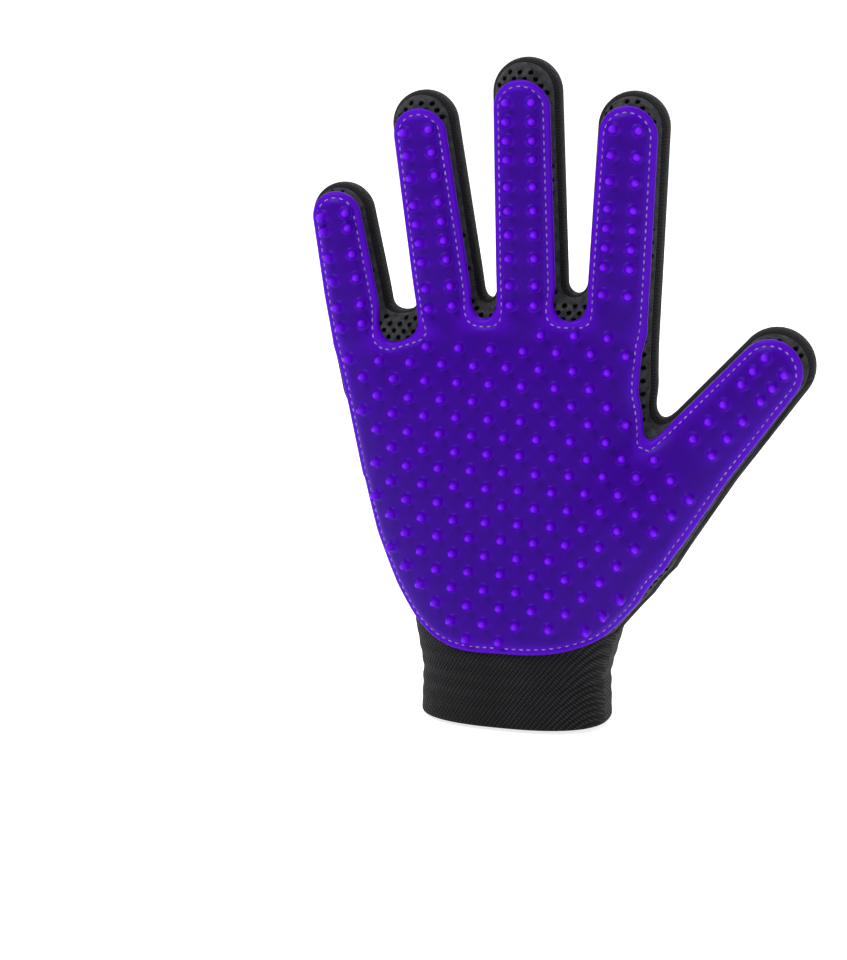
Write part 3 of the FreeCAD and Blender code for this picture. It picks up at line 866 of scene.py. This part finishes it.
def add_pad():
    loop = trace(pad_field, (0.0, PAD_BOTTOM), OUTLINE_STEP)
    rings = [np.stack(pull(pad_field, loop[:, 0], loop[:, 1], -depth, rounds=6), 1) for depth in RING_DEPTHS]
    inner = lattice(*PAD_GRID, lambda x, z: pad_field(x, z) < -RING_DEPTHS[-1] - PAD_GRID_CLEAR)
    flat, faces = fill(loop, np.concatenate([*rings, inner]))
    x, z = flat[:, 0], flat[:, 1]
    parts = [sheet(flat, faces, -1, pad_height(x, z), np.full(len(flat), PAD_UNDERSIDE))]
    places = nub_places()
    feet, normals = lay(places, -1, np.full(len(places), PAD_LIFT + RUBBER_THICK))
    angle = np.arange(NUB_SIDES) * 2 * math.pi / NUB_SIDES
    for foot, normal in zip(feet, normals):
        side = np.cross(normal, (0, 0, 1.0))
        side /= np.linalg.norm(side)
        up = np.cross(side, normal)
        rows = [foot + normal * h + r * (np.cos(angle)[:, None] * side + np.sin(angle)[:, None] * up)
                for r, h in NUB_PROFILE]
        points = np.concatenate([*rows, [foot + normal * (NUB_HEIGHT + NUB_TOP)], [foot - normal * NUB_FOOT]])
        parts.append((points, nub_faces()))
    points, faces = join(parts)
    # Painted light for the rubber: painted shade between the nubs, a painted highlight on the strip outside the
    # stitches and round each nub's foot, rising to full at the nubs' tips.
    depth = np.maximum(-pad_field(x, z), 0)
    border_highlight = BORDER_HIGHLIGHT * np.clip(1 - (depth - STITCH_INSET) / BORDER_FADE, 0, 1)
    away = (x[:, None] - places[:, 0]) ** 2 + (z[:, None] - places[:, 1]) ** 2
    sheet_painted_light = np.maximum(border_highlight, NUB_PAINTED_LIGHT * np.exp(-away / NUB_PAINTED_LIGHT_REACH ** 2).max(1))
    rise = [np.clip(NUB_PAINTED_LIGHT + h / NUB_HIGHLIGHT_RISE, NUB_PAINTED_LIGHT, 1) for _, h in NUB_PROFILE]
    nub_painted_light = np.concatenate([np.repeat(rise, NUB_SIDES), [1, NUB_PAINTED_LIGHT]])
    tint = np.concatenate([sheet_painted_light, sheet_painted_light, np.tile(nub_painted_light, len(places))])
    layer("pad", points, faces, RUBBER, {"hand": ["palm_rubber"], "finger": "rubber"}, tint)
    return loop


def nub_faces():
    n, rows = NUB_SIDES, len(NUB_PROFILE)
    top, foot = rows * n, rows * n + 1
    i = np.arange(n)
    j, last = np.roll(i, -1), (rows - 1) * n
    caps = [np.stack([last + i, np.full(n, top), last + j], 1), np.stack([i, j, np.full(n, foot)], 1)]
    return np.concatenate([grid_faces(rows, n, closed=True)[:, ::-1], *caps])


# ---- stitches ----
STITCH_PITCH = 2.6
STITCH_LENGTH = 1.7
STITCH_R = 0.27
STITCH_LIFT = 0.1
STITCH_SINK = 1.2          # how far its ends dip, in its own radii
STITCH_STATIONS = ((-0.5, 0.25), (-0.38, 0.85), (0.0, 1.0), (0.38, 0.85), (0.5, 0.25))   # place, radius
STITCH_SIDES = 6


def capsules(centres, tangents, normals, length, radius):
    """Small thread dashes."""
    angle = np.arange(STITCH_SIDES) * 2 * math.pi / STITCH_SIDES
    last = (len(STITCH_STATIONS) - 1) * STITCH_SIDES
    turns = range(1, STITCH_SIDES - 1)
    ends = [(0, i + 1, i) for i in turns] + [(last, last + i, last + i + 1) for i in turns]
    faces = np.concatenate([grid_faces(len(STITCH_STATIONS), STITCH_SIDES, closed=True), ends])
    parts = []
    for centre, tangent, normal in zip(centres, tangents, normals):
        side = np.cross(tangent, normal)
        rows = [centre + tangent * length * t - normal * radius * STITCH_SINK * (2 * t) ** 2
                + radius * w * (np.cos(angle)[:, None] * side + np.sin(angle)[:, None] * normal)
                for t, w in STITCH_STATIONS]
        parts.append((np.concatenate(rows), faces))
    return join(parts)


def run_along(points):
    """Length along a line at each of its points."""
    return np.concatenate([[0], np.cumsum(np.linalg.norm(np.diff(points, axis=0), axis=1))])


def places_along(points, run, at):
    return np.stack([np.interp(at, run, column) for column in points.T], 1)


def add_stitches(loop):
    line = np.stack(pull(pad_field, loop[:, 0], loop[:, 1], -STITCH_INSET, rounds=6), 1)
    line = np.concatenate([line, line[:1]])
    run = run_along(line)
    count = int(run[-1] / STITCH_PITCH)
    at = np.arange(count) * run[-1] / count
    here = places_along(line, run, at)
    height = pad_height(here[:, 0], here[:, 1]) + STITCH_LIFT
    centres, normals = lay(here, -1, height)
    ahead, _ = lay(places_along(line, run, at + 0.4), -1, height)
    points, faces = capsules(centres, unit(ahead - centres), normals, STITCH_LENGTH, STITCH_R)
    layer("stitches", points, faces, THREAD)


add_stitches(add_pad())

# ---- cuff and closure ----
ELASTIC = 1.4
BAND_PROUD = 0.3           # of the band over the body's plain surface
BAND_HEM = (0.5, 0.9)      # depth and reach of its rounded hems
BAND_WAVE = 0.15
LOOP_TOP = 1.2
FLAP_LOW, FLAP_HIGH = 2.65, 4.05
FOLD_X = -25.0
STEP_LENGTH = 9.0
JOINT_GAP = 0.4
BINDING_HALF = (2.5, 1.55)     # half width and half height of the rounded binding tape
TAPE_SQUARE = 0.8          # 1 makes the tape's section an ellipse, less makes it squarer
SHEET_STEP = 0.8
SHEET_EDGE = (0.55, 0.9)   # how much of a sheet's thickness its rounded edge takes, and over what width
SHEET_FOOT = 0.05
LOOP_X = (-17.0, 24.0)
STRIP_X = (24.0, 30.0)
FLAP_X = (FOLD_X + JOINT_GAP, -4.6)
FLAP_EDGE_X = -2.4         # middle of the binding on the flap's free edge
HOOK_X = (-17.0, -7.0)


def smooth_step(t):
    t = np.clip(t, 0, 1)
    return t * t * (3 - 2 * t)


def back_point(x, z, height):
    """A place on the back of the cuff or wrist, height above the body."""
    left, right, deep, n = hand_row(z)
    a, middle = (right - left) / 2 + height, (right + left) / 2
    reach = np.clip(1 - np.abs((x - middle) / a) ** n, 0, 1)
    return np.stack([x, (deep + height) * reach ** (1 / n), z], -1)


def cuff_sheet(x0, x1, z0, z1, low, high, step=SHEET_STEP, rough=0.0):
    """A closed sheet on the back of the cuff with a rounded edge."""
    columns, rows = int((x1 - x0) / step), int((z1 - z0) / step)
    x, z = np.meshgrid(np.linspace(x0, x1, columns), np.linspace(z0, z1, rows))
    edge = np.minimum(np.minimum(x - x0, x1 - x), np.minimum(z - z0, z1 - z))
    noise = np.random.default_rng(1).normal(0, 1, x.shape) * rough
    t = np.clip(edge / SHEET_EDGE[1], 0, 1)
    top = high - (high - low) * SHEET_EDGE[0] * (1 - np.sqrt(t * (2 - t))) + noise * (edge > 0)
    upper = back_point(x, z, top).reshape(-1, 3)
    under = back_point(x, z, np.full_like(x, low)).reshape(-1, 3)
    return close_sheet(upper, under, grid_faces(rows, columns)[:, ::-1])


def piece(name, parts, look, slot, body, *nodes):
    points, faces = join(parts)
    obj = mesh_object(name, points, faces, look)
    obj.data.set_sharp_from_angle(angle=math.radians(50))
    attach(obj, body)
    if nodes:
        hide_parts(*nodes)


def add_cuff():
    """The elastic band, whose little-finger side rises over the loop patch and becomes the flap."""
    turn = np.linspace(0, math.pi / 2, 150)
    short = np.linspace(0, math.pi / 2, 60)
    round_front = np.linspace(0, math.pi, 200)[1:-1]
    heights = np.concatenate([[0.0, 0.12, 0.4, 0.9], np.arange(1.7, CUFF_HEIGHT - 1.2, 0.8),
                              CUFF_HEIGHT - np.array([0.9, 0.4, 0.12, 0.0])])
    outer, inner = [], []
    for z in heights:
        left, right, deep, n = hand_row(z)
        edge = max(0.0, 1 - min(z, CUFF_HEIGHT - z) / BAND_HEM[1])
        hem = BAND_HEM[0] * (1 - math.sqrt(max(0.0, 1 - edge ** 2)))
        wave = BAND_WAVE * math.sin(z * 1.1) * math.sin(math.pi * z / CUFF_HEIGHT)
        thumb_side = FOLD_X + (right - FOLD_X) * np.cos(turn)
        root_side = FOLD_X - (FOLD_X - left) * np.sin(short)
        front = left + (right - left) * (1 - np.cos(round_front)) / 2
        rise = FLAP_HIGH * smooth_step((root_side - (FOLD_X - STEP_LENGTH)) / STEP_LENGTH)
        bulge = BAND_PROUD - hem + wave
        face = back_point(front, np.full_like(front, z), np.full_like(front, bulge))
        face[:, 1] *= -1
        ring = np.concatenate([
            back_point(thumb_side, np.full_like(turn, z), np.full_like(turn, bulge)),
            back_point(root_side - JOINT_GAP * np.cos(short), np.full_like(short, z), rise + bulge), face])
        outer.append(ring)
        angle = np.arctan2(ring[:, 1] / deep, ring[:, 0] / ((right - left) / 2))
        a, b = (right - left) / 2 - ELASTIC, deep - ELASTIC
        c, d = np.cos(angle), np.sin(angle)
        size = (np.abs(c) ** n + np.abs(d) ** n) ** (-1 / n)
        inner.append(np.stack([a * c * size, b * d * size, np.full_like(c, z)], 1))
    count = len(outer[0])
    lift = count * len(heights)
    shell = grid_faces(len(heights), count, closed=True)[:, ::-1]
    faces = [shell, shell[:, ::-1] + lift]
    for row, flip in ((0, True), (len(heights) - 1, False)):
        a = np.arange(count) + row * count
        b = np.roll(a, -1)
        wall = np.concatenate([np.stack([a, b, b + lift], 1), np.stack([a, b + lift, a + lift], 1)])
        faces.append(wall[:, ::-1] if flip else wall)
    band = np.concatenate(outer + inner), np.concatenate(faces)
    piece("cuff_band", [band], ELASTIC_LOOK, "elastic", "hand", "cuff_elastic")


def tube(path, normals, half_width, half_height, sides=14):
    """A rounded flat tape along a path. The path lies on its middle."""
    side = unit(np.cross(np.gradient(path, axis=0), normals))
    angle = np.arange(sides) * 2 * math.pi / sides
    c, d = [np.sign(v) * np.abs(v) ** TAPE_SQUARE for v in (np.cos(angle), np.sin(angle))]
    rings = path[:, None] + half_width * c[None, :, None] * side[:, None]
    rings = rings + half_height * d[None, :, None] * normals[:, None]
    faces = grid_faces(len(path), sides, closed=True)
    count = len(path) * sides
    ends = np.stack([path[0], path[-1]])
    i = np.arange(sides)
    j = np.roll(i, -1)
    caps = np.concatenate([np.stack([np.full(sides, count), j, i], 1),
                           np.stack([np.full(sides, count + 1), i + count - sides, j + count - sides], 1)])
    return np.concatenate([rings.reshape(-1, 3), ends]), np.concatenate([faces, caps])


def back_normal(points):
    """Outward direction of the back of the body at points near it."""
    sx, sz = gradient(surface_y, points[:, 0], points[:, 2], SLOPE_STEP)
    return unit(np.stack([-sx, np.ones_like(sx), -sz], 1))


def add_closure():
    add_cuff()
    low, high = 1.0, CUFF_HEIGHT - 1.0
    loops = cuff_sheet(*LOOP_X, low, high, SHEET_FOOT, LOOP_TOP + 0.25, step=0.55, rough=0.05)
    piece("loop_patch_knit", [loops], LOOP, "loop_tape", "hand", "loop_patch")
    piece("loop_patch_edge", [cuff_sheet(*STRIP_X, low, high, SHEET_FOOT, LOOP_TOP + 0.45)], BINDING,
          "binding_tape", "hand", "loop_patch_end")
    piece("flap_band", [cuff_sheet(*FLAP_X, 0.0, CUFF_HEIGHT, FLAP_LOW, FLAP_HIGH + 0.35)], ELASTIC_LOOK,
          "elastic", "closure_flap", "flap_elastic")
    piece("flap_hook", [cuff_sheet(*HOOK_X, 4.0, 30.0, LOOP_TOP + 0.5, FLAP_LOW + 0.1)], HOOK, "hook_tape",
          "closure_flap", "hook_patch")
    z = np.linspace(0.4, CUFF_HEIGHT + 0.6, 40)
    x = FLAP_EDGE_X + 0.25 * np.sin(z / 7)
    path = back_point(x, z, np.full_like(z, (FLAP_LOW + FLAP_HIGH) / 2 + 0.1))
    piece("flap_edge_binding", [tube(path, back_normal(path), *BINDING_HALF)], BINDING,
          "binding_tape", "closure_flap", "flap_binding")
    add_keyhole()
    add_closure_stitches(low, high)


def keyhole_path():
    """The middle of the binding: up the flap's side, round the keyhole and down again under the flap's edge."""
    r = KEYHOLE_R + BINDING_HALF[0] - 0.4
    turn = np.linspace(math.radians(-42), math.radians(222), 46)
    ring = np.stack([r * np.cos(turn), KEYHOLE_Z + r * np.sin(turn)], 1)[::-1]
    start = np.array([FLAP_EDGE_X, CUFF_HEIGHT + 0.9])
    end = np.array([1.6, CUFF_HEIGHT + 1.0])
    t = np.linspace(0, 1, 14)[:, None]

    def curve(p, q, pull_p, pull_q):
        """A cubic curve from p to q, drawn towards the two pulls."""
        a, b = p + pull_p, q + pull_q
        return (1 - t) ** 3 * p + 3 * (1 - t) ** 2 * t * a + 3 * (1 - t) * t ** 2 * b + t ** 3 * q

    up = curve(start, ring[0], np.array([0, 3.5]), np.array([1.6, -2.4]))
    down = curve(ring[-1], end, np.array([-1.6, -2.4]), np.array([2.5, 3.0]))
    return np.concatenate([up[:-1], ring, down[1:]])


def add_keyhole():
    flat = keyhole_path()
    x, z = flat[:, 0], flat[:, 1]
    path = back_point(x, z, np.full_like(x, 0.5))
    normals = back_normal(path)
    # The binding starts on top of the flap's edge and comes down to the body within 14 points.
    path += normals * 2.6 * (1 - smooth_step(np.arange(len(path)) / 14)[:, None])
    piece("keyhole_edge_binding", [tube(path, normals, BINDING_HALF[0], BINDING_HALF[1] * 1.15)], BINDING,
          "binding_tape", "hand", "keyhole_binding")


DASH_PITCH = 2.3
DASH_LENGTH = 1.5
DASH_R = 0.2


def add_closure_stitches(low, high):
    def line(x0, z0, x1, z1, height):
        """Stitches along a line on the cuff."""
        points = back_point(np.linspace(x0, x1, 60), np.linspace(z0, z1, 60), np.full(60, height))
        run = run_along(points)
        at = np.arange(DASH_PITCH / 2, run[-1], DASH_PITCH)
        here = places_along(points, run, at)
        along = unit(places_along(points, run, at + 0.3) - here)
        return capsules(here, along, places_along(back_normal(points), run, at), DASH_LENGTH, DASH_R)

    strip = LOOP_TOP + 0.5
    on_hand = [line(STRIP_X[0] + 1, low + 1, STRIP_X[0] + 1, high - 1, strip),
               line(STRIP_X[1] - 1.2, low + 1, STRIP_X[1] - 1.2, high - 1, strip),
               line(2.0, high - 1.2, LOOP_X[1] - 1, high - 1.2, LOOP_TOP + 0.3)]
    on_flap = [line(FLAP_X[1] - 0.9, 1.5, FLAP_X[1] - 0.9, CUFF_HEIGHT - 1.5, FLAP_HIGH + 0.35)]
    piece("closure_stitches", on_hand, DARK_THREAD, "elastic", "hand")
    piece("flap_stitches", on_flap, DARK_THREAD, "elastic", "closure_flap")


add_closure()

# ---- floor and light ----
PAPER = 0.7
PAPER_GLOW = 0.8           # keeps the paper even
WORLD_LIGHT = 0.25
LIT_HEIGHT = 0.11          # the lamps point here, above the middle of the cuff's foot


def add_floor():
    """A pale floor that curves up into a wall behind the glove."""
    m, _, _, shader = material("paper", 0.9, specular=0.1)
    shader.inputs["Base Color"].default_value = (PAPER, PAPER, PAPER, 1)
    shader.inputs["Emission Color"].default_value = (1, 1, 1, 1)
    shader.inputs["Emission Strength"].default_value = PAPER_GLOW
    low = cad_box[0][2] - 0.0015
    turn = np.linspace(0, math.pi / 2, 24)
    line = [(-3.0, low), *zip(2.0 + np.sin(turn), low + 1 - np.cos(turn)), (3.0, low + 6.0)]
    points = [(side, y, z) for y, z in line for side in (-6.0, 6.0)]
    faces = [(i, i + 1, i + 3, i + 2) for i in range(0, len(points) - 2, 2)]
    mesh = bpy.data.meshes.new("floor")
    mesh.from_pydata(points, [], faces)
    mesh.materials.append(m)
    floor = bpy.data.objects.new("floor", mesh)
    for polygon in mesh.polygons:
        polygon.use_smooth = True
    bpy.context.collection.objects.link(floor)


def add_light(name, place, size, power):
    lamp = bpy.data.lights.new(name, "AREA")
    lamp.size = size
    lamp.energy = power
    obj = bpy.data.objects.new(name, lamp)
    obj.location = place
    obj.rotation_euler = (Vector(place) - UP * LIT_HEIGHT).to_track_quat("Z", "Y").to_euler()
    bpy.context.collection.objects.link(obj)


add_floor()
add_light("key", (-0.55, -0.75, 1.1), 0.45, 11)
add_light("fill", (1.2, -0.9, 0.6), 1.0, 3)
add_light("top", (0.1, 0.3, 1.6), 0.9, 8)
add_light("back", (-0.3, 1.4, 0.8), 1.2, 7)
world = bpy.data.worlds.new("world")
bpy.context.scene.world = world
world.use_nodes = True
world.node_tree.nodes["Background"].inputs["Color"].default_value = (1, 1, 1, 1)
world.node_tree.nodes["Background"].inputs["Strength"].default_value = WORLD_LIGHT
bpy.context.scene.view_settings.view_transform = "Standard"
